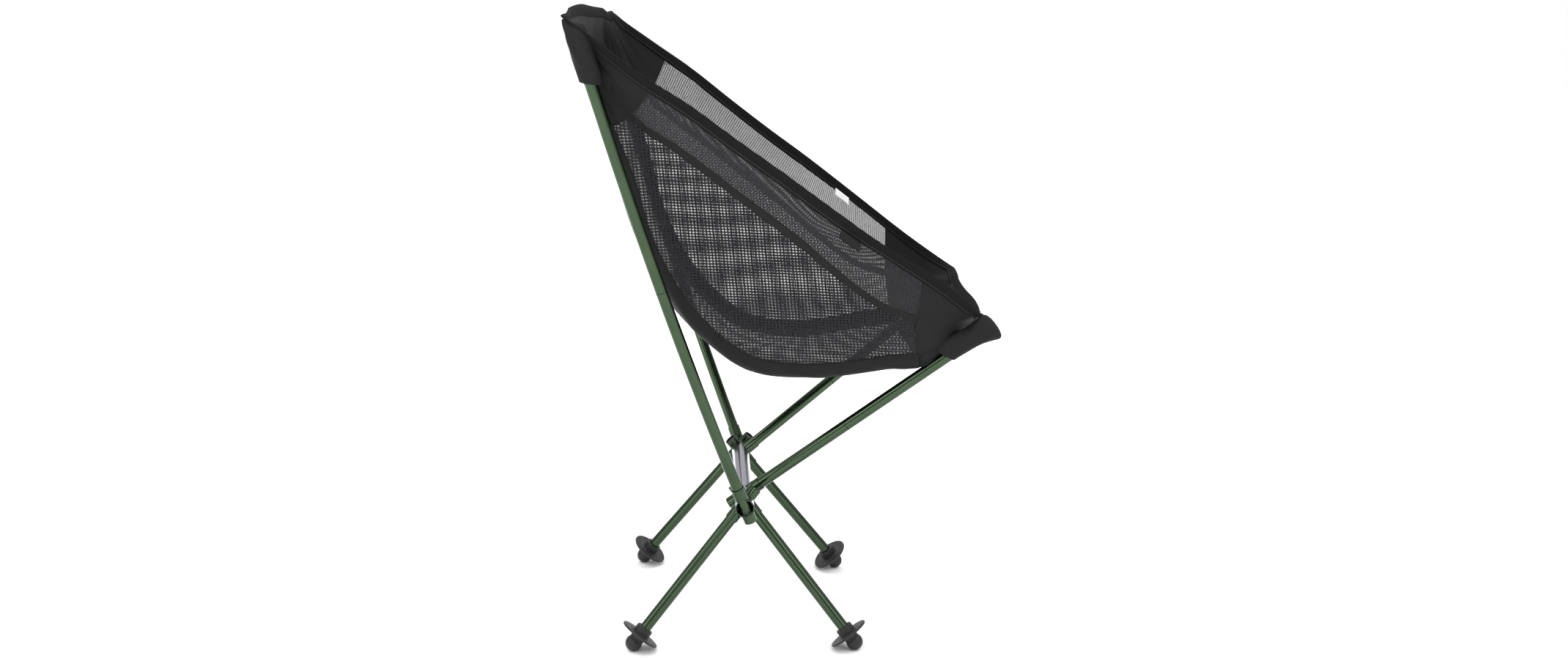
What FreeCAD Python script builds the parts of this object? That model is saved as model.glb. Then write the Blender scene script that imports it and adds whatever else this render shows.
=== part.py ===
import FreeCAD, Part
import math
import os

# Ultralight camping chair: a shock-corded aluminium pole frame carries a bucket-shaped mesh sling.
# Millimetres. +X is forward (the way the sitter faces), +Z up, and both sides of Y = 0 are alike.
# The origin is on the ground, under the middle of the chair's overall box.

# Poles and the cross tube that they all meet at
POLE_OD = 12.0
POLE_WALL = 0.9
CROSS_OD = 20.0
CROSS_WALL = 1.2
CROSS_HALF_LENGTH = 143.0
CROSS_HEIGHT = 155.8
SOCKET_WALL = 1.0
SOCKET_MOUTH = 23.0          # from the cross tube's axis to the socket's open mouth
SOCKET_STUB = 19.0           # how far the socket runs on past the axis, out of the other side
PLUG_RECESS = 1.5
PLUG_LENGTH = 5.0
STOP_GAP = 0.1               # between a seated pole's end and the plug that stops it
SLIDE_CLEARANCE = 0.05       # radial, between a pole and its socket
FERRULE_CLEARANCE = 0.1      # radial, between a ferrule and the sections that it joins
BRAZE_GAP = 0.05             # radial, between a socket and its hole in the cross tube

# The sockets along the cross tube, from the outermost inwards: the gap to the one outside it, how its pole
# rises seen from the side, and how far that pole splays outwards
OUTER_SOCKET_Y = 134.0
SOCKETS = {
    "rear_pole": {"gap": 0.0, "elevation": 112.0, "splay": 12.63},
    "rear_leg": {"gap": 1.4, "elevation": -127.78, "splay": 9.04},
    "front_leg": {"gap": 1.4, "elevation": -50.49, "splay": 10.37},
    "front_pole": {"gap": 0.9, "elevation": 38.89, "splay": 11.2},
}
REAR_REACH = 525.0           # cross tube's axis to the pole's end, along the pole
REAR_SPLIT = 257.0           # where the rear pole's two sections meet
REAR_BOW_RADIUS = 5400.0     # the tight sling bows the long rear poles
REAR_BOW_PULL = (0.8, 0.4)   # the pull that bows them: forward and inward
FRONT_REACH = 328.0
FRONT_SPLIT = 139.0
FERRULE_WALL = 0.9
FERRULE_LENGTH = 60.0
TIP_RADIUS = 6.8
TIP_RIM = 1.5                # straight part of the tip's cap, below its dome
TIP_DOME = 4.9
TIP_PLUG_LENGTH = 12.0
CORD_DIAMETER = 2.6

# Feet: a moulded boot with a ball end, and a snap-on disc for soft ground
BALL_RADIUS = 8.9
BOOT_OD = 18.4
NECK_OD = 15.6
GROOVE_OD = 16.6
GROOVE_CLEARANCE = 0.1
DISC_OD = 44.0
DISC_THICKNESS = 2.4
DISC_HUB_OD = 25.0
DISC_HUB_THICKNESS = 3.4
DISC_ABOVE_BALL = 10.8
COLLAR_HEIGHT = 7.5
BOOT_FLOOR = 4.0             # the pole's end stands this far above the ball's centre

# Sling
SHEET = 1.2                  # cloth panels
TAPE = 2.2                   # folded webbing on the edges
SEAM_GAP = 0.4               # each panel stops this far short of its seam line
POCKET_OD = 20.0
POCKET_LENGTH = 60.0
POCKET_END = 2.2
POCKET_CLEARANCE = 0.4
EDGE_TAPE_WIDTH = 12.0
SEAM_TAPE_WIDTH = 11.0
HEM_WIDTH = 12.0
HEM_END_GAP = 0.8            # from a hem's end to the edge tape beside it
REAR_CORNER = (-16.0, 3.0, 24.0)   # from the rear pole's end to the sling's corner
FRONT_CORNER = (2.0, 0.0, 12.5)
LABEL_SIZE = (26.0, 13.0, 0.5)
LABEL_STATION = 6.9
TAB_SIZE = (38.0, 9.0, 1.0)
TAB_STATION = 6.8
PIECE_GAP = 0.3

# The sling's pattern. Each row is a line across the chair, from the head hem to the front hem, and gives
# five points of its left half: side edge, band seam, strip's outer seam, strip's inner seam, and the middle.
# A point is (share of the line from rear to front corner, depth below that line, inset from the side edge).
PATTERN = (
    ((0.000, 0, 0), (-0.003, 0, 21), (-0.005, 0, 50), (-0.007, 0, 64), (-0.014, 1, None)),
    ((0.087, -4, 0), (0.109, 20, 14), (0.090, 27, 24), (0.074, 33, 34), (0.053, 36, None)),
    ((0.174, -1, 0), (0.213, 44, 18), (0.185, 57, 18), (0.166, 66, 25), (0.137, 72, None)),
    ((0.277, 0, 0), (0.303, 47, 16), (0.281, 93, 27), (0.265, 104, 34), (0.229, 111, None)),
    ((0.384, 1, 0), (0.397, 50, 14), (0.381, 137, 37), (0.366, 151, 44), (0.332, 154, None)),
    ((0.490, 2, 0), (0.492, 53, 11), (0.510, 170, 50), (0.501, 190, 57), (0.452, 193, None)),
    ((0.592, 3, 0), (0.598, 55, 9), (0.652, 179, 50), (0.663, 197, 57), (0.629, 207, None)),
    ((0.673, 3, 0), (0.713, 60, 7), (0.770, 146, 41), (0.790, 161, 48), (0.792, 173, None)),
    ((0.751, 3, 0), (0.825, 62, 5), (0.865, 86, 25), (0.897, 107, 32), (0.913, 115, None)),
    ((0.882, 1, 0), (0.911, 28, 4), (0.934, 50, 12), (0.956, 64, 20), (0.970, 62, None)),
    ((1.000, 0, 0), (1.004, 0, 12), (1.008, 0, 26), (1.012, 1, 36), (1.024, 2, None)),
)
LAST = len(PATTERN) - 1
HEAD_END = 2                 # the head panel runs from the head hem to this line
FRONT_START = 8.6            # the front panels run from this line to the front hem

V = FreeCAD.Vector
SIDES = {"left": 1, "right": -1}
POLE_R = POLE_OD / 2
POLE_BORE_R = POLE_R - POLE_WALL
SOCKET_BORE_R = POLE_R + SLIDE_CLEARANCE
SOCKET_R = SOCKET_BORE_R + SOCKET_WALL
socket_y = OUTER_SOCKET_Y + 2 * SOCKET_R
for socket in SOCKETS.values():
    socket_y -= 2 * SOCKET_R + socket["gap"]
    socket["y"] = socket_y
FERRULE_R = POLE_BORE_R - FERRULE_CLEARANCE
POLE_INSERT = SOCKET_STUB - PLUG_RECESS - PLUG_LENGTH - STOP_GAP
BOOT_R = BOOT_OD / 2
GROOVE_R = GROOVE_OD / 2
GROOVE_WIDTH = DISC_HUB_THICKNESS + 2 * GROOVE_CLEARANCE


def direction(kind, side):
    """Unit vector of a pole or leg, outwards from the cross tube."""
    rise = math.radians(SOCKETS[kind]["elevation"])
    splay = math.radians(SOCKETS[kind]["splay"])
    return V(math.cos(rise) * math.cos(splay), side * math.sin(splay), math.sin(rise) * math.cos(splay))


def crossing(kind, side):
    return V(0, side * SOCKETS[kind]["y"], CROSS_HEIGHT)


def on_axis(shape, kind, side, reach=0.0):
    """Puts a shape drawn about +Z on a pole's axis, with its origin that far out from the cross tube."""
    way = direction(kind, side)
    turn = FreeCAD.Rotation(V(0, 0, 1), way)
    shape.Placement = FreeCAD.Placement(crossing(kind, side) + way * reach, turn)
    return shape


def rod(kind, side, radius, start, end):
    return on_axis(Part.makeCylinder(radius, end - start), kind, side, start)


def tube(kind, side, outer, inner, start, end):
    return rod(kind, side, outer, start, end).cut(rod(kind, side, inner, start - 1, end + 1))


def turned(points):
    """A solid turned about +Z from (radius, height) points. A third value is on an arc to the next."""
    edges = []
    for here, there in zip(points, points[1:] + points[:1]):
        a, b = V(here[0], 0, here[1]), V(there[0], 0, there[1])
        if len(here) == 3:
            edges.append(Part.Arc(a, V(here[2][0], 0, here[2][1]), b).toShape())
        else:
            edges.append(Part.LineSegment(a, b).toShape())
    return Part.Face(Part.Wire(edges)).revolve(V(0, 0, 0), V(0, 0, 1), 360)


class Bow:
    """The rear pole outside its socket: an arc that starts along the socket and bends forward and inward."""

    def __init__(self, side):
        self.way = direction("rear_pole", side)
        self.start = crossing("rear_pole", side) + self.way * SOCKET_MOUTH
        pull = V(REAR_BOW_PULL[0], -side * REAR_BOW_PULL[1], 0)
        self.bend = (pull - self.way * pull.dot(self.way)).normalize()
        self.axis = self.way.cross(self.bend)
        self.centre = self.start + self.bend * REAR_BOW_RADIUS

    def angle(self, reach):
        return (reach - SOCKET_MOUTH) / REAR_BOW_RADIUS

    def point(self, reach):
        a = self.angle(reach)
        return self.centre + (self.way * math.sin(a) - self.bend * math.cos(a)) * REAR_BOW_RADIUS

    def tangent(self, reach):
        a = self.angle(reach)
        return self.way * math.cos(a) + self.bend * math.sin(a)

    def bar(self, radius, start, end):
        section = Part.Face(Part.Wire(Part.Circle(self.point(start), self.tangent(start), radius).toShape()))
        return section.revolve(self.centre, self.axis, math.degrees(self.angle(end) - self.angle(start)))

    def pipe(self, outer, inner, start, end):
        return self.bar(outer, start, end).cut(self.bar(inner, start - 1, end + 1))

    def put(self, shape, reach):
        turn = FreeCAD.Rotation(V(0, 0, 1), self.tangent(reach))
        shape.Placement = FreeCAD.Placement(self.point(reach), turn)
        return shape


def joined(*shapes):
    whole = shapes[0].fuse(list(shapes[1:]))
    return whole.removeSplitter()


# Frame


def cross_tube():
    """One straight tube across the chair, open at both ends, with a pair of holes for each socket."""
    def bar(radius, extra):
        half = CROSS_HALF_LENGTH + extra
        return Part.makeCylinder(radius, 2 * half, V(0, -half, CROSS_HEIGHT), V(0, 1, 0))
    body = bar(CROSS_OD / 2, 0).cut(bar(CROSS_OD / 2 - CROSS_WALL, 1))
    for kind in SOCKETS:
        for side in SIDES.values():
            body = body.cut(rod(kind, side, SOCKET_R + BRAZE_GAP, -SOCKET_STUB, SOCKET_MOUTH))
    return body


def socket(kind, side):
    return tube(kind, side, SOCKET_R, SOCKET_BORE_R, -SOCKET_STUB, SOCKET_MOUTH)


def socket_plugs():
    """The end plug in each socket's stub, which anchors the elastic cord."""
    start = -SOCKET_STUB + PLUG_RECESS
    end = start + PLUG_LENGTH
    radius = SOCKET_BORE_R - BRAZE_GAP
    return [rod(kind, side, radius, start, end) for kind in SOCKETS for side in SIDES.values()]


def leg_reach(kind):
    """From the cross tube to the foot ball's centre, so that the ball touches the ground."""
    return (CROSS_HEIGHT - BALL_RADIUS) / -direction(kind, 1).z


def leg(kind, side):
    return tube(kind, side, POLE_R, POLE_BORE_R, -POLE_INSERT, leg_reach(kind) - BOOT_FLOOR)


def leg_cord(kind, side):
    return rod(kind, side, CORD_DIAMETER / 2, -POLE_INSERT, leg_reach(kind) - BOOT_FLOOR)


def foot_boot(kind, side):
    """Turned about the leg, drawn with +Z towards the ground and the ball's centre at zero."""
    groove_low = -DISC_ABOVE_BALL - GROOVE_WIDTH / 2
    groove_high = -DISC_ABOVE_BALL + GROOVE_WIDTH / 2
    top = groove_low - COLLAR_HEIGHT
    neck = NECK_OD / 2
    neck_height = -math.sqrt(BALL_RADIUS ** 2 - neck ** 2)

    def on_ball(degrees):
        return BALL_RADIUS * math.sin(math.radians(degrees)), BALL_RADIUS * math.cos(math.radians(degrees))

    outline = [
        (0, BALL_RADIUS, on_ball(35)),
        on_ball(70) + ((BALL_RADIUS, 0),),
        (neck, neck_height),
        (neck, groove_high + 1.0),
        (BOOT_R, groove_high + 0.6),
        (BOOT_R, groove_high),
        (GROOVE_R, groove_high),
        (GROOVE_R, groove_low),
        (BOOT_R, groove_low),
        (BOOT_R, top + 0.8),
        (BOOT_R - 0.8, top),
        (POLE_R, top),
        (POLE_R, -BOOT_FLOOR),
        (0, -BOOT_FLOOR),
    ]
    return on_axis(turned(outline), kind, side, leg_reach(kind))


def sand_disc(kind, side):
    bore = GROOVE_R + GROOVE_CLEARANCE
    hub, rim = DISC_HUB_OD / 2, DISC_OD / 2
    thick, thin = DISC_HUB_THICKNESS / 2, DISC_THICKNESS / 2
    outline = [
        (bore, -thick), (hub, -thick), (hub + 1, -thin), (rim - 0.6, -thin), (rim, -thin + 0.6),
        (rim, thin - 0.6), (rim - 0.6, thin), (hub + 1, thin), (hub, thick), (bore, thick),
    ]
    return on_axis(turned(outline), kind, side, leg_reach(kind) - DISC_ABOVE_BALL)


def rear_pole_lower(side):
    straight = tube("rear_pole", side, POLE_R, POLE_BORE_R, -POLE_INSERT, SOCKET_MOUTH)
    return joined(straight, Bow(side).pipe(POLE_R, POLE_BORE_R, SOCKET_MOUTH, REAR_SPLIT))


def rear_pole_upper(side):
    return Bow(side).pipe(POLE_R, POLE_BORE_R, REAR_SPLIT, REAR_REACH)


def front_pole_lower(side):
    return tube("front_pole", side, POLE_R, POLE_BORE_R, -POLE_INSERT, FRONT_SPLIT)


def front_pole_upper(side):
    return tube("front_pole", side, POLE_R, POLE_BORE_R, FRONT_SPLIT, FRONT_REACH)


def pole_ferrules():
    """Inner sleeves across each pole's joint, fixed in the lower section and free in the upper one."""
    half = FERRULE_LENGTH / 2
    inner = FERRULE_R - FERRULE_WALL
    solids = []
    for side in SIDES.values():
        solids.append(Bow(side).pipe(FERRULE_R, inner, REAR_SPLIT - half, REAR_SPLIT + half))
        solids.append(tube("front_pole", side, FERRULE_R, inner, FRONT_SPLIT - half, FRONT_SPLIT + half))
    return solids


def tip_outline():
    """A plug in the pole's end with a domed cap, drawn with +Z out of the pole and its shoulder at zero."""
    sphere = (TIP_RADIUS ** 2 + TIP_DOME ** 2) / (2 * TIP_DOME)
    centre = TIP_RIM + TIP_DOME - sphere
    half = math.asin(TIP_RADIUS / sphere) / 2
    return [
        (0, -TIP_PLUG_LENGTH), (FERRULE_R, -TIP_PLUG_LENGTH), (FERRULE_R, 0), (TIP_RADIUS, 0),
        (TIP_RADIUS, TIP_RIM, (sphere * math.sin(half), centre + sphere * math.cos(half))),
        (0, TIP_RIM + TIP_DOME),
    ]


def pole_tips():
    return [Bow(side).put(turned(tip_outline()), REAR_REACH) for side in SIDES.values()] + [
        on_axis(turned(tip_outline()), "front_pole", side, FRONT_REACH) for side in SIDES.values()
    ]


def seat_pole_cords():
    """The elastic cord inside each seat pole, from its inner end to the plug of its tip."""
    radius = CORD_DIAMETER / 2
    solids = []
    for side in SIDES.values():
        bow = Bow(side)
        straight = rod("rear_pole", side, radius, -POLE_INSERT, SOCKET_MOUTH)
        solids.append(joined(straight, bow.bar(radius, SOCKET_MOUTH, REAR_REACH - TIP_PLUG_LENGTH)))
        solids.append(rod("front_pole", side, radius, -POLE_INSERT, FRONT_REACH - TIP_PLUG_LENGTH))
    return solids


# Sling


class Sling:
    """The cloth's middle surface. Station 0 is the head hem and LAST is the front hem.
    Across, 0 is the middle, 1 and 2 are the strip's seams, 3 the band's seam and 4 the side edge."""

    def __init__(self):
        rear = Bow(1).point(REAR_REACH) + V(*REAR_CORNER)
        front = crossing("front_pole", 1) + direction("front_pole", 1) * FRONT_REACH + V(*FRONT_CORNER)
        self.rear, self.front = rear, front
        run = V(front.x - rear.x, 0, front.z - rear.z)
        down = V(run.z, 0, -run.x).normalize()
        self.curves = []
        for column in range(4, -1, -1):
            points = []
            for row in PATTERN:
                share, depth, inset = row[4 - column]
                edge = rear.y + (front.y - rear.y) * share
                width = 0 if inset is None else edge - inset
                points.append(V(rear.x, 0, rear.z) + run * share + down * depth + V(0, width, 0))
            curve = Part.BSplineCurve()
            curve.interpolate(Points=points, Parameters=[float(i) for i in range(len(points))])
            self.curves.insert(0, curve)

    def point(self, station, across):
        side = 1 if across >= 0 else -1
        across = abs(across)
        low = min(int(across), 3)
        a = self.curves[low].value(station)
        b = self.curves[low + 1].value(station)
        part = across - low
        if low == 0:
            p = a + V((b.x - a.x) * part ** 2, b.y * part, (b.z - a.z) * part ** 2)
        else:
            p = a + (b - a) * part
        return V(p.x, side * p.y, p.z)

    def half_normal(self, station, across):
        step = 0.02
        low, high = max(station - step, 0), min(station + step, LAST)
        along = self.point(high, across) - self.point(low, across)
        left, right = max(across - step, -4), min(across + step, 4)
        sideways = self.point(station, right) - self.point(station, left)
        return sideways.cross(along).normalize()

    def normal(self, station, across):
        """Up and into the seat. On a seam it is halfway between the two panels' own normals."""
        step = 0.05
        inner = self.half_normal(station, max(across - step, -3.97))
        outer = self.half_normal(station, min(across + step, 3.97))
        return (inner + outer).normalize()

    def share(self, station, seam, width):
        """How much of the way across from that seam to the next one a width in millimetres is."""
        return width / (self.point(station, seam + 1) - self.point(station, seam)).Length


SLING = Sling()


def skinned(rows):
    surface = Part.BSplineSurface()
    surface.interpolate(rows)
    return surface


def panel(stations, lines, thickness):
    """A closed sheet between two stations and two lines across, following the sling's middle surface.
    lines(station) gives the values across, from one seam to the other."""
    over, under = [], []
    for station in stations:
        across = lines(station)
        over.append([SLING.point(station, a) + SLING.normal(station, a) * (thickness / 2) for a in across])
        under.append([SLING.point(station, a) - SLING.normal(station, a) * (thickness / 2) for a in across])
    top, bottom = skinned(over), skinned(under)
    faces = [top.toShape(), bottom.toShape()]
    ends = [(skin.uIso(0), skin.uIso(1), skin.vIso(0), skin.vIso(1)) for skin in (top, bottom)]
    for upper, lower in zip(*ends):
        faces.append(Part.makeRuledSurface(upper.toShape(), lower.toShape()))
    shell = Part.makeShell(faces)
    shell.sewShape()
    solid = Part.Solid(shell)
    if solid.Volume < 0:
        solid.reverse()
    return solid


def spread(start, end, count):
    return [start + (end - start) * i / (count - 1) for i in range(count)]


def inside(start, end, count, station):
    """count values across between two seams, stopping short of both by the seam gap."""
    width = (SLING.point(station, end) - SLING.point(station, start)).Length
    gap = SEAM_GAP * (end - start) / width
    return spread(start + gap, end - gap, count)


def strip(stations, start, end, count, thickness=SHEET):
    """A panel between two seams, where each may be a number or a function of the station."""
    def value(limit, station):
        return limit(station) if callable(limit) else limit
    return panel(stations, lambda s: inside(value(start, s), value(end, s), count, s), thickness)


def between(start, end, per_station=3):
    """Stations from start to end, stopping short of both by the seam gap."""
    length = (SLING.point(end, 4) - SLING.point(start, 4)).Length
    gap = SEAM_GAP * (end - start) / length
    return spread(start + gap, end - gap, max(4, int((end - start) * per_station) + 1))


def edge_seam(station):
    return 4 - SLING.share(station, 3, EDGE_TAPE_WIDTH)


def hem_end(station):
    return 4 - SLING.share(station, 3, EDGE_TAPE_WIDTH + HEM_END_GAP)


def band_seam(station):
    return 3 + SLING.share(station, 3, SEAM_TAPE_WIDTH)


def hem_share(start, end):
    return HEM_WIDTH / (SLING.point(end, 4) - SLING.point(start, 4)).Length


def mirrored(shape):
    return shape.mirror(V(0, 0, 0), V(0, 1, 0))


def both_sides(name, solid):
    return {name + "_left": solid, name + "_right": mirrored(solid)}


def pocket_outline(inner_reach):
    """A sleeve closed past the pole's cap, drawn with +Z out of the pole and the pole's end at zero."""
    bore = POLE_R + POCKET_CLEARANCE
    head = TIP_RADIUS + POCKET_CLEARANCE
    end = TIP_RIM + TIP_DOME + POCKET_CLEARANCE
    outer = POCKET_OD / 2
    return [
        (bore, -inner_reach), (outer, -inner_reach), (outer, end - 3), (outer - 3.5, end + POCKET_END),
        (0, end + POCKET_END), (0, end), (head, end), (head, -2), (bore, -2),
    ]


def pockets():
    outline = pocket_outline(POCKET_LENGTH)
    nodes = {}
    for name, side in SIDES.items():
        nodes["rear_pocket_" + name] = Bow(side).put(turned(outline), REAR_REACH)
        nodes["front_pocket_" + name] = on_axis(turned(outline), "front_pole", side, FRONT_REACH)
    return nodes


def patch(size, station, across, side, lift):
    """A small flat patch lying on the sling, long side along the edge."""
    here = SLING.point(station, side * across)
    along = (SLING.point(station + 0.2, side * across) - here).normalize()
    up = SLING.normal(station, side * across) * (1 if lift > 0 else -1)
    wide = up.cross(along).normalize()
    corner = here + up * abs(lift) - along * (size[0] / 2) - wide * (size[1] / 2)
    box = Part.makeBox(*size)
    box.Placement = FreeCAD.Placement(corner, FreeCAD.Rotation(along, wide, up, "XYZ"))
    return box


def sling_nodes():
    head_tape = hem_share(0, 1)
    front_tape = hem_share(LAST - 1, LAST)
    first, last = head_tape, LAST - front_tape
    whole = between(0, LAST)
    middle = between(HEAD_END, FRONT_START)
    front = between(FRONT_START, last, 5)
    nodes = {}
    nodes.update(both_sides("edge_tape", strip(whole, edge_seam, 4, 3, TAPE)))
    nodes.update(both_sides("mesh_band", strip(middle, band_seam, edge_seam, 4)))
    nodes.update(both_sides("seam_tape", strip(middle, 3, band_seam, 3)))
    nodes.update(both_sides("side_mesh", strip(middle, 2, 3, 6)))
    nodes.update(both_sides("side_strip", strip(middle, 1, 2, 4)))
    nodes.update(both_sides("front_corner", strip(front, 2, edge_seam, 13)))
    nodes["center_mesh"] = strip(middle, -1, 1, 11)
    nodes["front_panel"] = strip(front, -2, 2, 25)
    nodes["head_panel"] = strip(between(first, HEAD_END, 5), lambda s: -edge_seam(s), edge_seam, 49)
    nodes["head_hem"] = strip(between(0, first, 5), lambda s: -hem_end(s), hem_end, 33, TAPE)
    nodes["front_hem"] = strip(between(last, LAST, 5), lambda s: -hem_end(s), hem_end, 33, TAPE)
    nodes["care_label"] = patch(LABEL_SIZE, LABEL_STATION, 3.7, 1, TAPE / 2 + PIECE_GAP)
    nodes["hanging_tab"] = patch(TAB_SIZE, TAB_STATION, 3.62, -1, -(SHEET / 2 + PIECE_GAP))
    return nodes


def frame_nodes():
    nodes = {"cross_tube": cross_tube(), "socket_plugs": Part.makeCompound(socket_plugs())}
    for name, side in SIDES.items():
        for kind in SOCKETS:
            nodes["socket_" + kind + "_" + name] = socket(kind, side)
        for kind in ("front_leg", "rear_leg"):
            nodes[kind + "_" + name] = leg(kind, side)
            nodes[kind + "_boot_" + name] = foot_boot(kind, side)
            nodes[kind + "_disc_" + name] = sand_disc(kind, side)
            nodes[kind + "_cord_" + name] = leg_cord(kind, side)
        nodes["rear_pole_lower_" + name] = rear_pole_lower(side)
        nodes["rear_pole_upper_" + name] = rear_pole_upper(side)
        nodes["front_pole_lower_" + name] = front_pole_lower(side)
        nodes["front_pole_upper_" + name] = front_pole_upper(side)
    nodes["pole_ferrules"] = Part.makeCompound(pole_ferrules())
    nodes["pole_tips"] = Part.makeCompound(pole_tips())
    nodes["seat_pole_cords"] = Part.makeCompound(seat_pole_cords())
    return nodes


def main():
    nodes = frame_nodes()
    nodes.update(pockets())
    nodes.update(sling_nodes())
    box = FreeCAD.BoundBox()
    for shape in nodes.values():
        box.add(shape.optimalBoundingBox(False, False))
    shift = V(-box.Center.x, 0, 0)
    os.makedirs("parts", exist_ok=True)
    for name, shape in nodes.items():
        shape.translate(shift)
        shape.exportStep("parts/" + name + ".step")
        print(name, shape.isValid(), round(shape.Volume, 1), len(shape.Solids))
    print("box", box.XLength, box.YLength, box.ZLength, "shift", shift.x, "nodes", len(nodes))


main()
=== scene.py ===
import math

import bpy
import numpy as np
from mathutils import Matrix, Vector


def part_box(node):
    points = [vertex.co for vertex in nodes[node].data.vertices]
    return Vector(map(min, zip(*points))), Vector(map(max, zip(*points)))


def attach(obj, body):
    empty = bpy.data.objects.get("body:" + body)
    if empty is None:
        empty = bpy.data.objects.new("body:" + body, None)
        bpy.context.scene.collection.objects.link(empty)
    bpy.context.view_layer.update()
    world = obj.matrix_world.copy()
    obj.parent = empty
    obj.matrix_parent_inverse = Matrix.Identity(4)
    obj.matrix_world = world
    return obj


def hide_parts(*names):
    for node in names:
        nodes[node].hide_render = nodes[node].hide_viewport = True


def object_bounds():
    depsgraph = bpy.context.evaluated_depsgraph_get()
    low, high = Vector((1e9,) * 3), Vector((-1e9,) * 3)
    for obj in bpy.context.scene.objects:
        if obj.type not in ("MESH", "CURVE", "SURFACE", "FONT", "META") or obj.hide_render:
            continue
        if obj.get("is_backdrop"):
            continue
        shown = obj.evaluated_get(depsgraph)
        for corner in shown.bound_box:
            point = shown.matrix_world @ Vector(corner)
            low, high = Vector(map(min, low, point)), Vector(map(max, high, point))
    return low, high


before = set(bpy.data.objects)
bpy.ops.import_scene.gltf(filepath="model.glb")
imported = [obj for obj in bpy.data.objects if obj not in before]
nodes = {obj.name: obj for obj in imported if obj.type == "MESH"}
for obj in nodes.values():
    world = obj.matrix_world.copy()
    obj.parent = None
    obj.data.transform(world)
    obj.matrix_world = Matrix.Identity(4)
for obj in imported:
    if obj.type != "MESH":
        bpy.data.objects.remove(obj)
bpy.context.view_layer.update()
scene = bpy.context.scene

# --- Viewpoint -----------------------------------------------------------------------------------
# The camera stands level with the seat, a little under two metres from the chair's right side, and
# looks slightly down on it.
tube_low, tube_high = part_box("cross_tube")
hub = Vector(((tube_low.x + tube_high.x) / 2, 0, (tube_low.z + tube_high.z) / 2))
eye = Vector((hub.x - 0.04947, -1.77254, 0.63564))
pan, tilt, roll = math.radians(2.978), math.radians(-10.006), math.radians(1.719)
lens = bpy.data.cameras.new("viewpoint")
lens.sensor_width = 36
lens.lens = 37.01
camera = bpy.data.objects.new("viewpoint", lens)
scene.collection.objects.link(camera)
camera.matrix_world = (
    Matrix.Translation(eye)
    @ Matrix.Rotation(-pan, 4, "Z")
    @ Matrix.Rotation(math.pi / 2 + tilt, 4, "X")
    @ Matrix.Rotation(roll, 4, "Z")
)
scene.camera = camera

# --- Studio --------------------------------------------------------------------------------------
# A white floor, a very wide soft light overhead and three tall soft boxes on the camera's side. The
# camera sees the surround as plain white. The chair is lit by one that is greyer near the ground, so
# the tubes show soft streaks.
FLOOR_SIZE = 60
bpy.ops.mesh.primitive_plane_add(size=FLOOR_SIZE, location=(0, 12, 0))
floor = bpy.context.object
floor.name = "floor"
paper = bpy.data.materials.new("white paper")
paper.use_nodes = True
matt = paper.node_tree.nodes["Principled BSDF"].inputs
matt["Base Color"].default_value = (0.93, 0.93, 0.93, 1)
matt["Roughness"].default_value = 1.0
matt["Specular IOR Level"].default_value = 0.0
floor.data.materials.append(paper)
floor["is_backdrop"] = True

surround = bpy.data.worlds.new("surround")
scene.world = surround
surround.use_nodes = True
tree = surround.node_tree
tree.nodes.clear()
seen = tree.nodes.new("ShaderNodeBackground")
seen.inputs["Color"].default_value = (1, 1, 1, 1)
seen.inputs["Strength"].default_value = 1.0
lit = tree.nodes.new("ShaderNodeBackground")
lit.inputs["Strength"].default_value = 0.95
place = tree.nodes.new("ShaderNodeTexCoord")
split = tree.nodes.new("ShaderNodeSeparateXYZ")
tree.links.new(place.outputs["Generated"], split.inputs["Vector"])
ramp = tree.nodes.new("ShaderNodeValToRGB")
ramp.color_ramp.elements[0].position = 0.0
ramp.color_ramp.elements[0].color = (0.42, 0.42, 0.42, 1)
ramp.color_ramp.elements[1].position = 0.55
ramp.color_ramp.elements[1].color = (1, 1, 1, 1)
tree.links.new(split.outputs["Z"], ramp.inputs["Fac"])
tree.links.new(ramp.outputs["Color"], lit.inputs["Color"])
ray = tree.nodes.new("ShaderNodeLightPath")
choose = tree.nodes.new("ShaderNodeMixShader")
tree.links.new(ray.outputs["Is Camera Ray"], choose.inputs["Fac"])
tree.links.new(lit.outputs[0], choose.inputs[1])
tree.links.new(seen.outputs[0], choose.inputs[2])
out = tree.nodes.new("ShaderNodeOutputWorld")
tree.links.new(choose.outputs[0], out.inputs["Surface"])


def soft_light(name, where, height, size, watts):
    """A flat lamp that faces a point at this height above the middle of the floor."""
    lamp = bpy.data.lights.new(name, "AREA")
    lamp.shape = "RECTANGLE"
    lamp.size, lamp.size_y = size
    lamp.energy = watts
    holder = bpy.data.objects.new(name, lamp)
    scene.collection.objects.link(holder)
    holder.location = where
    way = Vector((0, 0, height)) - Vector(where)
    holder.rotation_euler = way.to_track_quat("-Z", "Y").to_euler()


sky = bpy.data.lights.new("overhead", "SUN")
sky.energy = 2.9
sky.angle = math.radians(80)
above = bpy.data.objects.new("overhead", sky)
scene.collection.objects.link(above)
above.rotation_euler = (math.radians(-4), math.radians(3), 0)
soft_light("rear_side", (-1.9, -1.3, 0.9), 0.35, (0.5, 1.6), 10)
soft_light("front_side", (1.5, -1.9, 1.5), 0.35, (0.5, 1.4), 9)
soft_light("beside_the_eye", (-0.5, -2.4, 1.5), 0.3, (0.5, 1.3), 13)
scene.view_settings.view_transform = "Standard"


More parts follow.
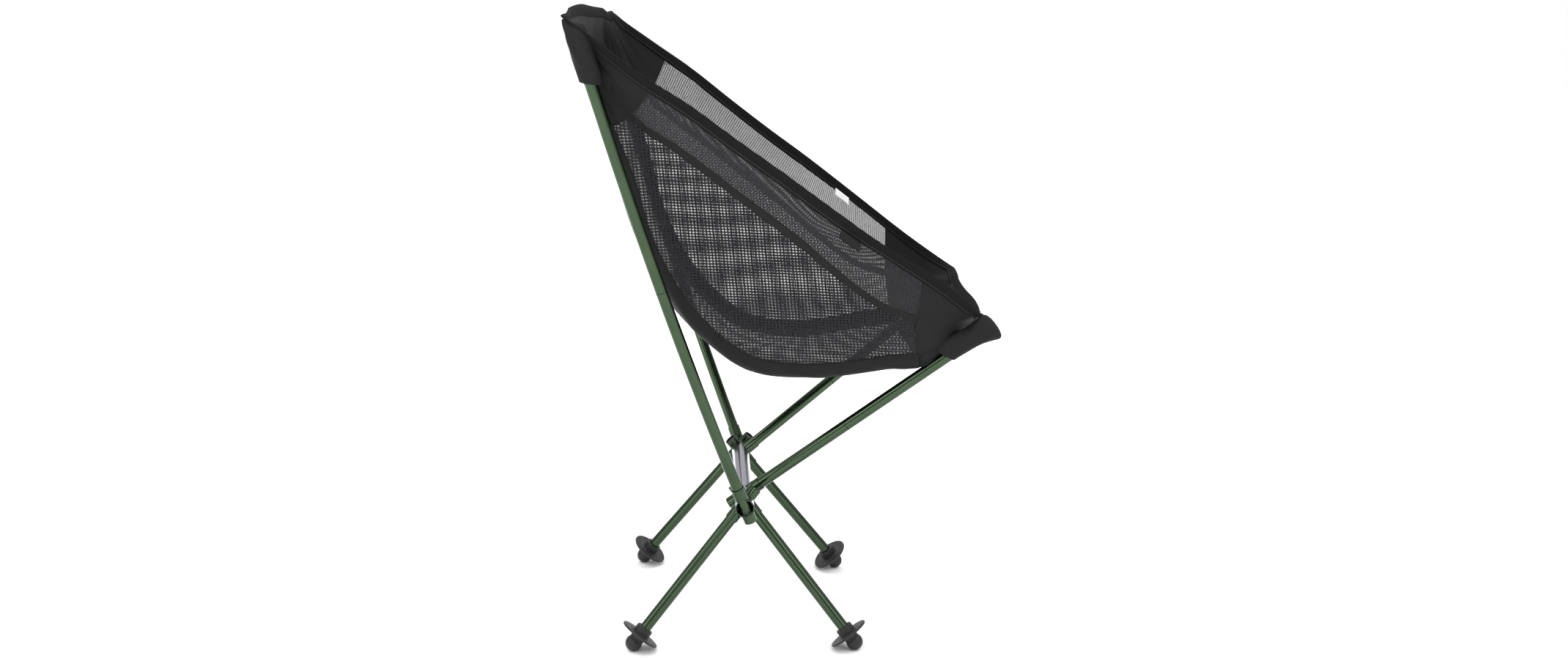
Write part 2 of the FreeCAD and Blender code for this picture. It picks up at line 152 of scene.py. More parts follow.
# --- Green poles and sockets ---------------------------------------------------------------------
# Thin drawn aluminium tube, anodised green, then cut to length. The drawing leaves faint lines, and
# the dye is a little uneven.
class Wire:
    """A shader socket that can be used in sums. add() makes any other node, from its settings and
    its sockets."""

    def __init__(self, tree, socket=None):
        self.tree, self.socket = tree, socket

    def add(self, kind, settings=None, sockets=None, out=0):
        node = self.tree.nodes.new("ShaderNode" + kind)
        for name, value in (settings or {}).items():
            if name == "stops":
                ramp = node.color_ramp
                while len(ramp.elements) < len(value):
                    ramp.elements.new(0.5)
                for stop, (position, colour) in zip(ramp.elements, value):
                    stop.position = position
                    stop.color = colour if len(colour) == 4 else (*colour, 1)
            else:
                setattr(node, name, value)
        for name, value in (sockets or {}).items():
            if isinstance(value, Wire):
                self.tree.links.new(value.socket, node.inputs[name])
            else:
                node.inputs[name].default_value = value
        return Wire(self.tree, node.outputs[out])

    def math(self, operation, *values):
        return self.add("Math", {"operation": operation}, dict(enumerate(values)))

    def __add__(self, other):
        return self.math("ADD", self, other)

    def __radd__(self, other):
        return self.math("ADD", other, self)

    def __sub__(self, other):
        return self.math("SUBTRACT", self, other)

    def __rsub__(self, other):
        return self.math("SUBTRACT", other, self)

    def __mul__(self, other):
        return self.math("MULTIPLY", self, other)

    def __rmul__(self, other):
        return self.math("MULTIPLY", other, self)

    def __truediv__(self, other):
        return self.math("DIVIDE", self, other)

    def __rtruediv__(self, other):
        return self.math("DIVIDE", other, self)

    def __pow__(self, other):
        return self.math("POWER", self, other)

    def __lt__(self, other):
        return self.math("LESS_THAN", self, other)

    def __gt__(self, other):
        return self.math("GREATER_THAN", self, other)

    def noise(self, where, scale, detail):
        return self.add("TexNoise", None, {"Vector": where, "Scale": scale, "Detail": detail})

    def blend(self, share, a, b):
        """A colour between a and b."""
        a, b = [c if isinstance(c, Wire) else (*c, 1) for c in (a, b)]
        return self.add("Mix", {"data_type": "RGBA"}, {0: share, 6: a, 7: b}, out=2)

    def scaled(self, factors):
        """A vector, each part times its own factor."""
        return self.add("VectorMath", {"operation": "MULTIPLY"}, {0: self, 1: factors})

    def part(self, axis):
        return self.add("SeparateXYZ", None, {"Vector": self}, out=axis)

    def bump(self, height, distance, strength=1.0):
        return self.add("Bump", None, {"Height": height, "Distance": distance, "Strength": strength})


def material(name):
    made = bpy.data.materials.new(name)
    made.use_nodes = True
    made.node_tree.nodes.clear()
    return made, Wire(made.node_tree)


def cover(start, **sockets):
    """Joins a Principled shader with these sockets to the material's output."""
    named = {name.replace("_", " "): value for name, value in sockets.items()}
    shader = start.add("BsdfPrincipled", None, named)
    end = start.tree.nodes.new("ShaderNodeOutputMaterial")
    start.tree.links.new(shader.socket, end.inputs["Surface"])


def paint(piece, made):
    piece.data.materials.clear()
    piece.data.materials.append(made)


green, g = material("green anodised tube")
here = g.add("TexCoord", out=3)
cloudy = g.noise(here, 35, 2)
fine = g.noise(here, 900, 2)
dye = g.blend(cloudy, (0.040, 0.064, 0.037), (0.056, 0.084, 0.050))
cover(
    g,
    Base_Color=dye,
    Metallic=1.0,
    Roughness=0.13 + 0.1 * fine,
    Normal=g.bump(fine, 0.00001),
)
for name, node in nodes.items():
    is_socket = name.startswith("socket_") and name != "socket_plugs"
    is_pole = "_pole_" in name and name != "seat_pole_cords"
    if is_socket or is_pole or name.endswith(("_leg_left", "_leg_right")):
        paint(node, green)

# --- Pole joints ---------------------------------------------------------------------------------
# Each seat pole is two sections that push together over a ferrule. A thin dark ring, a hair proud of
# the lower one's upper end, is painted shade for the narrow gap between them.
def axis_of(node):
    """The middle line of a long part: its lower end, its upper end and the way from one to the other."""
    points = np.array([v.co for v in nodes[node].data.vertices])
    middle = points.mean(0)
    way = np.linalg.svd(points - middle, full_matrices=False)[2][0]
    way = way * np.sign(way[2])
    reach = (points - middle) @ way
    return middle + way * reach.min(), middle + way * reach.max(), way


# A dark material for the joint ring: painted shade that stands for the gap between the two sections.
gap_shade_finish, g = material("painted gap shade ring")
shade_mottle = g.noise(g.add("TexCoord", out=3), 1200, 2)
cover(
    g,
    Base_Color=g.blend(shade_mottle, (0.010, 0.014, 0.010), (0.02, 0.028, 0.02)),
    Metallic=1.0,
    Roughness=0.4 + 0.2 * shade_mottle,
)
# The painted shade ring's section: (along the pole, out from its wall), in metres.
SHADE_RING_SECTION = ((-0.0005, -0.0003), (-0.0004, 0.00006), (-0.0001, 0.00014), (0.0002, 0.00006), (0.0003, -0.0003))
SHADE_RING_STEPS = 64
for kind in ("rear", "front"):
    for hand in ("right", "left"):
        tube_node = nodes[f"{kind}_pole_lower_{hand}"]
        points = np.array([v.co for v in tube_node.data.vertices])
        way = axis_of(tube_node.name)[2]
        reach = points @ way
        rim = points[reach > reach.max() - 0.003]
        middle = (rim.min(0) + rim.max(0)) / 2
        middle = middle + way * (reach.max() - middle @ way)
        radius = np.linalg.norm((rim - middle) - np.outer((rim - middle) @ way, way), axis=1).max()
        aside = np.cross(way, (0, 0, 1))
        aside /= np.linalg.norm(aside)
        upright = np.cross(aside, way)
        turn = np.linspace(0, 2 * math.pi, SHADE_RING_STEPS, endpoint=False)
        ring = [
            middle + way * along + (aside * math.cos(a) + upright * math.sin(a)) * (radius + out)
            for a in turn for along, out in SHADE_RING_SECTION
        ]
        k = len(SHADE_RING_SECTION)
        faces = [
            (i * k + j, i * k + (j + 1) % k, after * k + (j + 1) % k, after * k + j)
            for i, after in zip(range(SHADE_RING_STEPS), [*range(1, SHADE_RING_STEPS), 0]) for j in range(k)
        ]
        data = bpy.data.meshes.new(f"{kind}_pole_joint_{hand}")
        data.from_pydata([tuple(p) for p in ring], [], faces)
        joint = bpy.data.objects.new(data.name, data)
        scene.collection.objects.link(joint)
        paint(joint, gap_shade_finish)
        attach(joint, "seat_frame")

# --- Cross tube ----------------------------------------------------------------------------------
# A wider drawn tube that all eight sockets pass through. It is left in its own grey, polished, and
# clear anodised, which gives it a faint lilac cast. Its sawn ends are dark. The ferrules inside the
# poles are plain aluminium.
lilac, g = material("polished clear anodised tube")
here = g.add("TexCoord", out=3)
streaks = g.noise(here.scaled((900.0, 6.0, 900.0)), 1.0, 2)
SAWN_DEPTH = 0.0002
sawn = g.math("ABSOLUTE", here.part(1)) > (tube_high.y - SAWN_DEPTH)
drawn = g.blend(streaks, (0.36, 0.34, 0.42), (0.5, 0.48, 0.56))
cover(
    g,
    Base_Color=g.blend(sawn, drawn, (0.05, 0.062, 0.05)),
    Metallic=1.0,
    Roughness=0.14 + 0.1 * streaks + 0.3 * sawn,
    Normal=g.bump(streaks, 0.00002),
)
paint(nodes["cross_tube"], lilac)
bare, g = material("bare aluminium")
fine = g.noise(g.add("TexCoord", out=3), 700, 2)
cover(g, Base_Color=(0.75, 0.75, 0.76, 1), Metallic=1.0, Roughness=0.25 + 0.15 * fine)
paint(nodes["pole_ferrules"], bare)

# --- Feet, discs, plugs and cords ----------------------------------------------------------------
# Boots, discs and plugs are injection moulded in black nylon with a fine spark-eroded grain. The
# cord is braided elastic.
nylon, g = material("moulded black nylon")
here = g.add("TexCoord", out=3)
grain = g.noise(here, 2600, 2)
scuff = g.noise(here, 60, 4)
cover(
    g,
    Base_Color=g.blend(scuff, (0.008, 0.008, 0.009), (0.018, 0.018, 0.02)),
    Roughness=0.38 + 0.16 * grain,
    Specular_IOR_Level=0.35,
    Normal=g.bump(grain, 0.00006),
)
braid, g = material("braided elastic cord")
weave = g.noise(g.add("TexCoord", out=3), 1500, 2)
cover(g, Base_Color=(0.03, 0.03, 0.03, 1), Roughness=0.7 + 0.2 * weave, Normal=g.bump(weave, 0.0002))
for name, node in nodes.items():
    if "_boot_" in name or "_disc_" in name or name in ("socket_plugs", "pole_tips"):
        paint(node, nylon)
    if "_cord_" in name or name == "seat_pole_cords":
        paint(node, braid)

# --- Sling: its shape ----------------------------------------------------------------------------
# The sling hangs in tension from four corners. These are the seam lines that its panels are sewn
# along, in millimetres from the cross tube's axis (x) and the ground (z), with y from the middle.
# Each row crosses the chair: right edge, left edge, edge half width, band seam, outer strip seam,
# inner strip seam, middle.
SEAMS = (
    ((-184, 655), (-165, 667), 249, (-177, 663, 228), (-178, 666, 200), (-179, 668, 186), (-181, 670)),
    ((-150, 630), (-148, 655), 241, (-150, 610, 224), (-164, 612, 216), (-170, 613, 206), (-184, 622)),
    ((-112, 602), (-111, 631), 232, (-118, 560, 210), (-139, 558, 213), (-148, 556, 206), (-168, 562)),
    ((-66, 574), (-66, 602), 222, (-80, 532, 204), (-117, 499, 195), (-126, 497, 188), (-148, 500)),
    ((-20, 542), (-20, 568), 213, (-40, 503, 197), (-98, 434, 175), (-106, 429, 168), (-126, 435)),
    ((26, 511), (26, 535), 203, (0, 473, 190), (-60, 367, 150), (-69, 359, 143), (-95, 368)),
    ((70, 480), (70, 505), 192, (45, 440, 182), (-1, 316, 136), (-5, 303, 129), (-25, 305)),
    ((105, 456), (105, 480), 183, (92, 402, 173), (70, 308, 133), (70, 294, 126), (65, 286)),
    ((138, 435), (138, 456), 175, (140, 371, 164), (145, 321, 140), (147, 306, 133), (150, 297)),
    ((198, 398), (197, 413), 163, (193, 360, 157), (195, 332, 146), (197, 316, 138), (204, 316)),
    ((240, 365), (256, 374), 152, (249, 369, 140), (250, 368, 125), (250, 367, 115), (251, 367)),
)
LAST = len(SEAMS) - 1
HEAD, FRONT = 2, 8.6        # where the head panel ends and the front panels start


# The sling hangs a little askew: on these rows it moves (forward, up) by a share of the distance from
# the middle, so the left side sits further forward and higher.
SKEW = {0: (0.021, 0.021), 1: (0.012, 0.012), 2: (0.004, 0.004), 9: (0.02, 0.008), 10: (0.055, 0.02)}


def seam_columns():
    """Nine lines from the right edge (0) to the left edge (8), each a row of points in metres."""
    rows = []
    for right, left, half, band, outer, inner, middle in SEAMS:
        rows.append([
            (right[0], -half, right[1]), (band[0], -band[2], band[1]), (outer[0], -outer[2], outer[1]),
            (inner[0], -inner[2], inner[1]), (middle[0], 0, middle[1]), (inner[0], inner[2], inner[1]),
            (outer[0], outer[2], outer[1]), (band[0], band[2], band[1]), (left[0], half, left[1]),
        ])
    columns = np.array(rows, float) / 1000 + np.array([hub.x, 0, 0])
    for row, (forward, up) in SKEW.items():
        columns[row, 1:8, 0] += forward * columns[row, 1:8, 1]
        columns[row, 1:8, 2] += up * columns[row, 1:8, 1]
    return columns


def smooth_line(points, at):
    """Points on a smooth curve through rows of points, at fractional row numbers."""
    at = np.clip(at, 0, len(points) - 1)
    i = np.clip(at.astype(int), 0, len(points) - 2)
    t = (at - i)[:, None]
    padded = np.concatenate([[2 * points[0] - points[1]], points, [2 * points[-1] - points[-2]]])
    a, b, c, d = (padded[i + k] for k in range(4))
    cubic = (2 * a - 5 * b + 4 * c - d) * t ** 2 + (3 * b - a - 3 * c + d) * t ** 3
    return 0.5 * (2 * b + (c - a) * t + cubic)


COLUMNS = seam_columns()


def cloth(row, across):
    """Points on the sling. Across runs from -4, the right edge, to 4, the left edge."""
    row, across = np.broadcast_arrays(np.asarray(row, float), np.asarray(across, float))
    shape = row.shape
    row, across = row.ravel(), across.ravel() + 4
    low = np.clip(across.astype(int), 0, 7)
    part = (across - low)[:, None]
    ends = np.zeros((2, len(row), 3))
    for column in range(9):
        for end, which in enumerate((low, low + 1)):
            mask = which == column
            if mask.any():
                ends[end, mask] = smooth_line(COLUMNS[:, column], row[mask])
    a, b = ends
    left_of_middle, right_of_middle = low[:, None] == 4, low[:, None] == 3
    bent = np.where(left_of_middle, part ** 2, np.where(right_of_middle, 2 * part - part ** 2, part))
    p = a + (b - a) * bent
    p[:, 1] = (a + (b - a) * part)[:, 1]
    return p.reshape(*shape, 3)


def facing(row, across, step=0.03):
    """Unit normals, up and into the seat."""
    row, across = np.broadcast_arrays(np.asarray(row, float), np.asarray(across, float))
    along = cloth(np.minimum(row + step, LAST), across) - cloth(np.maximum(row - step, 0), across)
    wide = cloth(row, np.minimum(across + step, 4)) - cloth(row, np.maximum(across - step, -4))
    n = np.cross(along, wide)
    n /= np.linalg.norm(n, axis=-1)[..., None]
    return n


def mesh_from(name, points, faces, uv):
    data = bpy.data.meshes.new(name)
    data.from_pydata([tuple(p) for p in points], [], faces)
    layer = data.uv_layers.new(name="cloth")
    loops = np.zeros(len(data.loops), int)
    data.loops.foreach_get("vertex_index", loops)
    layer.data.foreach_set("uv", np.asarray(uv, np.float32)[loops].ravel())
    data.polygons.foreach_set("use_smooth", [True] * len(data.polygons))
    data.update()
    made = bpy.data.objects.new(name, data)
    scene.collection.objects.link(made)
    return made


def grid_piece(name, points, from_side=False):
    """A sheet from a grid of points. Its map holds real distances in metres along and across it, or for
    a net that is knitted level with the ground, the distances seen from the side."""
    n, m = points.shape[:2]
    along = np.concatenate([[0], np.cumsum(np.linalg.norm(np.diff(points[:, m // 2], axis=0), axis=1))])
    wide = np.linalg.norm(np.diff(points, axis=1), axis=2)
    wide = np.concatenate([np.zeros((n, 1)), np.cumsum(wide, axis=1)], axis=1)
    wide -= wide[:, m // 2][:, None]
    uv = np.stack([np.repeat(along[:, None], m, 1), wide], -1).reshape(-1, 2)
    if from_side:
        flat = points.reshape(-1, 3)
        uv = np.stack([flat[:, 0] + 0.12 * flat[:, 2], flat[:, 2] + 0.02 * flat[:, 0]], -1)
    faces = [
        (i * m + j, (i + 1) * m + j, (i + 1) * m + j + 1, i * m + j + 1)
        for i in range(n - 1) for j in range(m - 1)
    ]
    return mesh_from(name, points.reshape(-1, 3), faces, uv)


def area_of(points):
    a, b = points[1:, :-1] - points[:-1, :-1], points[:-1, 1:] - points[:-1, :-1]
    c, d = points[:-1, 1:] - points[1:, 1:], points[1:, :-1] - points[1:, 1:]
    return (np.linalg.norm(np.cross(a, b), axis=-1) + np.linalg.norm(np.cross(c, d), axis=-1)).sum() / 2


def sewn_panel(name, start, end, low, high, size, made, replaces, relief, thick,
               from_side=False):
    """A panel between two rows and two lines across, with size = (points along, points across). Its
    relief lifts it off the sling's own shape."""
    down, share = np.linspace(0, 1, size[0])[:, None], np.linspace(0, 1, size[1])[None, :]
    top, bottom = (HEAD if callable(edge) else edge for edge in (start, end))
    rows = top * (1 - down) + bottom * down
    low = low(rows) if callable(low) else low
    high = high(rows) if callable(high) else high
    rows, across = np.broadcast_arrays(rows, low + (high - low) * share + 0 * rows)
    if callable(start) or callable(end):
        first = start(across) if callable(start) else start
        last = end(across) if callable(end) else end
        rows = first + (last - first) * down
    points = cloth(rows, across) + facing(rows, across) * relief(rows, across, share)[..., None]
    piece = grid_piece(name, points, from_side)
    wall = piece.modifiers.new("thickness", "SOLIDIFY")
    wall.thickness = thick
    wall.offset = 0
    paint(piece, made)
    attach(piece, "seat_frame")
    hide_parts(*replaces)
    length = float(np.linalg.norm(np.diff(points[:, size[1] // 2], axis=0), axis=1).sum())
    width = float(np.linalg.norm(np.diff(points, axis=1), axis=2).sum(axis=1).max())
    area = min(area_of(points), width * length)


def ripple(x, seed):
    """A smooth wavy value about -1 to 1 that never repeats closely."""
    value, size = 0.0, 1.0
    for k in range(3):
        swing = np.sin(x * (1.0 + 1.73 * k) + seed * (1.3 + k))
        value = value + size * swing * np.cos(x * 0.41 * (k + 1) + seed * 2.1)
        size *= 0.55
    return value / 1.6


# --- Sling: mesh panels --------------------------------------------------------------------------
# Warp-knitted polyester net, dyed black. The seat and sides are a coarse net, and the upper band
# under each edge is a finer one. VEIL is the share that a hole still covers.
VEIL = 0.25


def net(name, pitch, hole, tint, wander=0.0):
    """A net whose holes repeat at pitch = (along, across) and take up hole = (along, across) of it."""
    made, g = material(name)
    where = g.add("UVMap", {"uv_map": "cloth"})
    if wander:
        drift = g.add("TexNoise", None, {"Vector": where, "Scale": 30.0, "Detail": 1.0}, out=1)
        drift = g.add("VectorMath", {"operation": "SUBTRACT"}, {0: drift, 1: (0.5, 0.5, 0.5)})
        drift = drift.scaled((wander, wander, 0.0))
        where = g.add("VectorMath", {"operation": "ADD"}, {0: where, 1: drift})
    dx = g.math("ABSOLUTE", g.math("FRACT", where.part(0) / pitch[0]) - 0.5) / (hole[0] / 2)
    dy = g.math("ABSOLUTE", g.math("FRACT", where.part(1) / pitch[1]) - 0.5) / (hole[1] / 2)
    reach = dx ** 3 + dy ** 3
    knot = g.noise(where, 2200, 2)
    cover(
        g,
        Base_Color=g.blend(knot, tint, tuple(1.9 * c for c in tint)),
        Roughness=0.75 + 0.2 * knot,
        Specular_IOR_Level=0.25,
        Alpha=VEIL + (1 - VEIL) * (reach > 1.0),
        Normal=g.bump(g.math("MINIMUM", reach, 3.0), 0.0004, 0.6),
    )
    return made


coarse_net = net("coarse knitted net", (0.0036, 0.0031), (0.7, 0.68), (0.010, 0.010, 0.0115), 0.0014)
fine_net = net("fine knitted net", (0.0028, 0.0011), (0.8, 0.46), (0.017, 0.017, 0.0185))

TAPE, SEAM_TAPE = 0.012, 0.0085      # widths


def edge_share(row, width=TAPE):
    """A width as a share of the band between the seam (3) and the edge (4)."""
    return width / np.linalg.norm(cloth(row, 4) - cloth(row, 3), axis=-1)


def lines(side, inner, outer):
    """Lines across for one side of the sling, from inner to outer, given as functions or numbers."""
    def value(x):
        return lambda row: side * (x(row) if callable(x) else x + 0 * row)
    return value(inner), value(outer)


def head_seam(across):
    """The row where the head panel ends, at a line across: it dips a little towards the edges."""
    return HEAD + np.interp(np.abs(across), (0, 2, 2.6, 3, 3.6, 4), (0, 0.05, -0.05, -0.1, 0.15, 0.3))


for side, hand in ((-1, "right"), (1, "left")):
    low, high = lines(side, 2.0, 3.05)
    sewn_panel(
        "side_net_" + hand, head_seam, FRONT, low, high, (90, 26), coarse_net, ["side_mesh_" + hand],
        thick=0.0005, from_side=True,
        relief=lambda r, a, s: 0.002 * np.sin(np.pi * s) * ripple(r * 2.2, 3),
    )
    low, high = lines(side, 3.0, lambda row: 4 - 0.5 * edge_share(row))
    sewn_panel(
        "upper_net_" + hand, head_seam, FRONT, low, high, (80, 14), fine_net, ["mesh_band_" + hand],
        thick=0.0006,
        relief=lambda r, a, s: 0.001 * np.sin(np.pi * s) * ripple(r * 2.0, 5),
    )


def seat_folds(r, a, s):
    slack = np.exp(-((r - 6.3) / 1.1) ** 2)
    return 0.004 * slack * ripple(a * 7 + r * 2.0, 2) * np.cos(np.pi * (s - 0.5))


sewn_panel(
    "seat_net", head_seam, FRONT, -1.0, 1.0, (120, 60), coarse_net, ["center_mesh"],
    thick=0.0005, relief=seat_folds,
)

# --- Sling: woven panels -------------------------------------------------------------------------
# Plain-woven black nylon for the parts that carry load: the strips beside the seat, the front and
# corner panels and the head panel, which is gathered a little into its hem.
nylon_cloth, g = material("woven black nylon")
where = g.add("UVMap", {"uv_map": "cloth"})
YARN = 7000.0                        # radians of weave in a metre
weave = g.math("SINE", where.part(0) * YARN) * g.math("SINE", where.part(1) * YARN)
cloud = g.noise(where, 55, 4)
cover(
    g,
    Base_Color=g.blend(cloud, (0.004, 0.004, 0.0046), (0.010, 0.010, 0.011)),
    Roughness=0.5 + 0.2 * cloud,
    Specular_IOR_Level=0.18,
    Normal=g.bump(0.5 * weave + cloud, 0.0006, 0.5),
)

for side, hand in ((-1, "right"), (1, "left")):
    low, high = lines(side, 0.97, 2.03)
    sewn_panel(
        "side_strip_" + hand + "_cloth", HEAD, FRONT + 0.02, low, high, (120, 12), nylon_cloth,
        ["side_strip_" + hand], thick=0.0008,
        relief=lambda r, a, s: -0.0035 * np.sin(np.pi * s) + 0.0012 * ripple(r * 3.0 + s * 2, 4),
    )
    low, high = lines(side, 1.99, lambda row: 4 - 0.5 * edge_share(row))
    sewn_panel(
        "front_corner_" + hand + "_cloth", FRONT - 0.02, LAST - 0.15, low, high, (40, 26), nylon_cloth,
        ["front_corner_" + hand], thick=0.0008,
        relief=lambda r, a, s: 0.0015 * np.sin(np.pi * s) * ripple(r * 2.0 + s * 3, 7),
    )


def gathers(r, a, s):
    near_hem = np.clip(1.15 - 0.5 * r, 0, 1) * np.clip((r - 0.15) / 0.6, 0, 1)
    return 0.003 * near_hem * ripple(a * 9 + 0.5 * r, 1) * (1 - np.abs(2 * s - 1) ** 6)


sewn_panel(
    "front_panel_cloth", FRONT - 0.02, LAST - 0.15, -2.0, 2.0, (40, 60), nylon_cloth, ["front_panel"],
    thick=0.0008,
    relief=lambda r, a, s: 0.0015 * ripple(a * 4 + r * 2, 6),
)
sewn_panel(
    "head_panel_cloth", 0.1, lambda across: head_seam(across) + 0.03,
    lambda row: -4 + 0.5 * edge_share(row), lambda row: 4 - 0.5 * edge_share(row),
    (50, 150), nylon_cloth, ["head_panel"], thick=0.0008, relief=gathers,
)

# --- Sling: bindings and hems --------------------------------------------------------------------
# Ribbed polyester tape, folded over the raw edge and sewn down with a row of stitches on each side.
# A narrow strip of the woven nylon, laid flat, covers the seam between the two nets.
webbing, g = material("ribbed black tape")
where = g.add("UVMap", {"uv_map": "cloth"})
RIBS = 5200.0                        # radians of rib in a metre
STITCH_ROWS = (0.0128, 0.0202)       # places around the tape's section
THREAD, STITCH_PITCH = 0.0004, 0.0030
rib = g.math("SINE", where.part(0) * RIBS)
lint = g.noise(where, 900, 3)
upper_row, lower_row = (g.math("ABSOLUTE", where.part(1) - place) < THREAD for place in STITCH_ROWS)
stitch = (upper_row + lower_row) * (g.math("FRACT", where.part(0) / STITCH_PITCH) < 0.68)
dyed = g.blend(lint, (0.003, 0.003, 0.0035), (0.009, 0.009, 0.0095))
cover(
    g,
    Base_Color=g.blend(stitch, dyed, (0.035, 0.035, 0.037)),
    Roughness=0.8 + 0.1 * lint,
    Specular_IOR_Level=0.12,
    Normal=g.bump(0.3 * rib + stitch, 0.0004, 0.7),
)


def rounded(width, thick, count=5):
    """A flat section with round edges, as (across, up) points about its middle."""
    r = thick / 2
    turn = np.linspace(-math.pi / 2, math.pi / 2, count)
    right = [(width / 2 - r + r * math.cos(a), r * math.sin(a)) for a in turn]
    left = [(-width / 2 + r - r * math.cos(a), -r * math.sin(a)) for a in turn]
    top = [(x, thick / 2) for x in np.linspace(width / 2 - r, -width / 2 + r, 5)[1:-1]]
    bottom = [(x, -thick / 2) for x in np.linspace(-width / 2 + r, width / 2 - r, 5)[1:-1]]
    return right + top + left + bottom


def ribbon(name, centre, wide, up, section, made, node):
    """A section swept along a line, with closed ends."""
    section = np.array(section)
    k = len(section)
    rings = centre[:, None] + wide[:, None] * section[None, :, :1] + up[:, None] * section[None, :, 1:]
    n = len(rings)
    along = np.concatenate([[0], np.cumsum(np.linalg.norm(np.diff(centre, axis=0), axis=1))])
    around = np.concatenate([[0], np.cumsum(np.linalg.norm(np.diff(section, axis=0), axis=1))])
    uv = np.stack([np.repeat(along[:, None], k, 1), np.repeat(around[None], n, 0)], -1).reshape(-1, 2)
    faces = [
        (i * k + j, i * k + (j + 1) % k, (i + 1) * k + (j + 1) % k, (i + 1) * k + j)
        for i in range(n - 1) for j in range(k)
    ]
    faces += [tuple(range(k))[::-1], tuple((n - 1) * k + j for j in range(k))]
    piece = mesh_from(name, rings.reshape(-1, 3), faces, uv)
    paint(piece, made)
    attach(piece, "seat_frame")
    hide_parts(node)


def unit(v):
    return v / np.linalg.norm(v, axis=-1)[..., None]


for side, hand in ((-1, "right"), (1, "left")):
    rows = np.linspace(0.08, LAST - 0.03, 160)
    share = edge_share(rows)
    centre = cloth(rows, side * (4 - share / 2))
    wide = unit(cloth(rows, side * 4) - cloth(rows, side * (4 - share)))
    up = facing(rows, side * (4 - share / 2))
    section = rounded(TAPE + 0.001, 0.0026)
    ribbon("edge_binding_" + hand, centre, wide, up, section, webbing, "edge_tape_" + hand)
    rows = np.linspace(HEAD - 0.6, FRONT + 0.05, 120)
    share = edge_share(rows, SEAM_TAPE)
    centre = cloth(rows, side * (3 + share / 2))
    wide = unit(cloth(rows, side * (3 + share)) - cloth(rows, side * 3))
    up = facing(rows, side * (3 + share / 2))
    section = rounded(SEAM_TAPE, 0.0012)
    ribbon("seam_tape_" + hand + "_cover", centre, wide, up, section, nylon_cloth, "seam_tape_" + hand)

for name, row, hem in (("head_hem_tape", 0.1, "head_hem"), ("front_hem_tape", LAST - 0.1, "front_hem")):
    across = np.linspace(-3.9, 3.9, 160)
    centre = cloth(row, across)
    wide = unit(cloth(row + 0.1, across) - cloth(row - 0.1, across))
    up = facing(row, across)
    ribbon(name, centre, wide, up, rounded(0.0125, 0.0026), webbing, hem)

# --- Sling: pole pockets -------------------------------------------------------------------------
# A sewn sleeve at each corner that the pole's end is pushed into. It is cloth, doubled, and lies in
# folds where it is drawn towards the corner.
HOOD_STEPS = 60


def hood(name, node, rings, slant):
    """A closed sleeve over a pole's end. A ring is (height above the pocket's lower end, forward reach
    from the axis, backward reach, side reach), in millimetres. The slants tip the mouth and the top."""
    start, _, way = axis_of(node)
    ahead = unit(np.array([way[2], 0, -way[0]]))
    aside = np.cross(way, ahead)
    rings = np.array(rings, float) / 1000
    fine = smooth_line(rings, np.linspace(0, len(rings) - 1, HOOD_STEPS))
    turn = np.linspace(0, 2 * math.pi, 64, endpoint=False)
    around = np.sign(np.cos(turn)) * np.abs(np.cos(turn)) ** 0.85
    across = np.sign(np.sin(turn)) * np.abs(np.sin(turn)) ** 0.85
    points = []
    for k, (height, front, back, wide) in enumerate(fine):
        part = k / (HOOD_STEPS - 1)
        crease = 0.0005 * np.sin(4 * turn + 170 * height) * np.sin(np.pi * part)
        reach = np.where(around > 0, front, back) * around + crease
        rise = height + reach * (slant[0] * (1 - part) ** 2 + slant[1] * part ** 2)
        sideways = wide * across + crease
        points.append(
            start + way * rise[:, None] + ahead * reach[:, None] + aside * sideways[:, None]
        )
    points = np.array(points)
    n, m = points.shape[:2]
    faces = [
        (i * m + j, i * m + (j + 1) % m, (i + 1) * m + (j + 1) % m, (i + 1) * m + j)
        for i in range(n - 1) for j in range(m)
    ] + [tuple((n - 1) * m + j for j in range(m))]
    up_the_pole = np.repeat(fine[:, :1], m, 1)
    round_the_pole = np.repeat(turn[None] * 0.01, n, 0)
    uv = np.stack([up_the_pole, round_the_pole], -1).reshape(-1, 2)
    piece = mesh_from(name, points.reshape(-1, 3), faces, uv)
    wall = piece.modifiers.new("thickness", "SOLIDIFY")
    wall.thickness = 0.0012
    wall.offset = -1
    paint(piece, nylon_cloth)
    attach(piece, "seat_frame")
    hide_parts(node, "pole_tips")


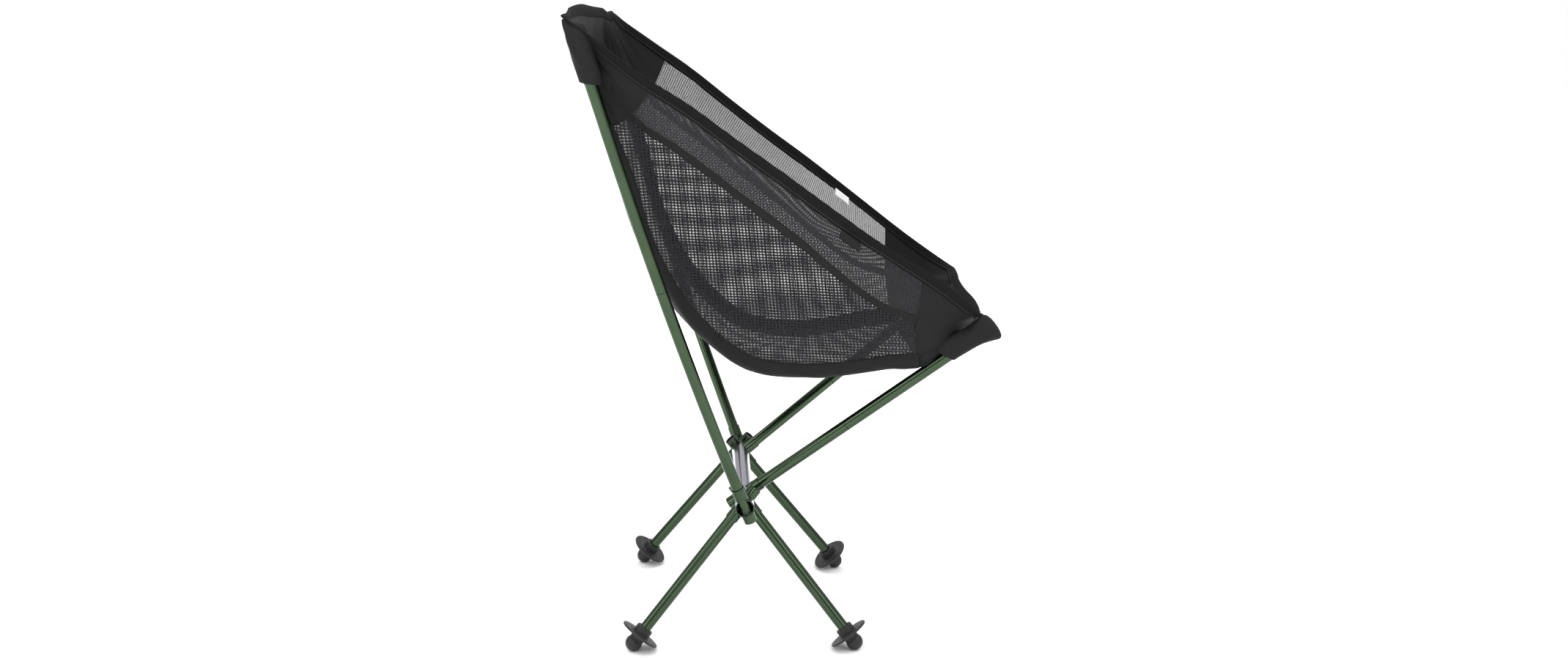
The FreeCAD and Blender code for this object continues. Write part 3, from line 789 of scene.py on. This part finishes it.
for hand, lift, tip in (("right", 0, 0.0), ("left", 2, -0.75)):
    hood("rear_sleeve_" + hand, "rear_pocket_" + hand, (
        (12, 11, 10, 9.6), (24, 12, 10, 9.8), (40, 12, 10.3, 9.8), (52, 12, 10, 9.4), (60, 12, 9, 8.2),
        (66, 12, 9, 6.8), (70, 11, 8.6, 5), (72, 10, 7.6, 3.2), (72.8, 6, 4, 1.6), (72.9, 1, 1, 0.6),
    ), (-0.4, -0.75))
    hood("front_sleeve_" + hand, "front_pocket_" + hand, (
        (3, 7, 17, 7.6), (14, 7.2, 18, 8), (28, 8.2, 16 + lift / 2, 8.4), (40, 10.2, 14 + lift, 8.6),
        (50, 13, 15 + lift, 8.2), (56, 15, 16 + lift, 7.4), (60, 13.5, 14 + lift, 5.6),
        (62, 8, 8 + lift, 3.6), (62.6, 1, 1, 1),
    ), (0.5, tip))

# --- Sling: label and hanging tab ----------------------------------------------------------------
# A blank woven satin label is sewn under the left edge binding. A short loop of the woven nylon, to
# hang the chair by, is caught under the right one.
def cloth_patch(name, row, across, size, lift, made, node):
    """A small piece that lies along the edge, on the seat's side (lift above 0) or outside it."""
    here = cloth(row, across)
    length = np.linalg.norm(cloth(row + 0.5, across) - cloth(row - 0.5, across))
    width = np.linalg.norm(cloth(row, across + 0.2) - cloth(row, across - 0.2)) / 0.4
    rows = row + (np.linspace(-0.5, 0.5, 12) * size[0] / length)[:, None]
    lines_across = across + (np.linspace(-0.5, 0.5, 6) * size[1] / width)[None, :]
    rows, lines_across = np.broadcast_arrays(rows, lines_across)
    points = cloth(rows, lines_across) + facing(rows, lines_across) * lift
    piece = grid_piece(name, points)
    wall = piece.modifiers.new("thickness", "SOLIDIFY")
    wall.thickness = 0.0006
    wall.offset = 0
    paint(piece, made)
    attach(piece, "seat_frame")
    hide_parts(node)


satin, g = material("white satin label")
where = g.add("UVMap", {"uv_map": "cloth"})
floats = g.math("SINE", where.part(1) * 9000.0)
soil = g.noise(where, 300, 3)
cover(
    g,
    Base_Color=g.blend(soil, (0.84, 0.84, 0.85), (0.95, 0.95, 0.95)),
    Roughness=0.45 + 0.1 * soil,
    Normal=g.bump(floats, 0.0001, 0.5),
)
cloth_patch("blank_label", 7.45, 3.83, (0.022, 0.0085), 0.0034, satin, "care_label")
cloth_patch(
    "tape_loop", 6.85, -3.745, (0.025, 0.009), -0.004, nylon_cloth, "hanging_tab",
)

# --- Size ----------------------------------------------------------------------------------------
# The box round the finished model, without the floor, in metres.
low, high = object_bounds()
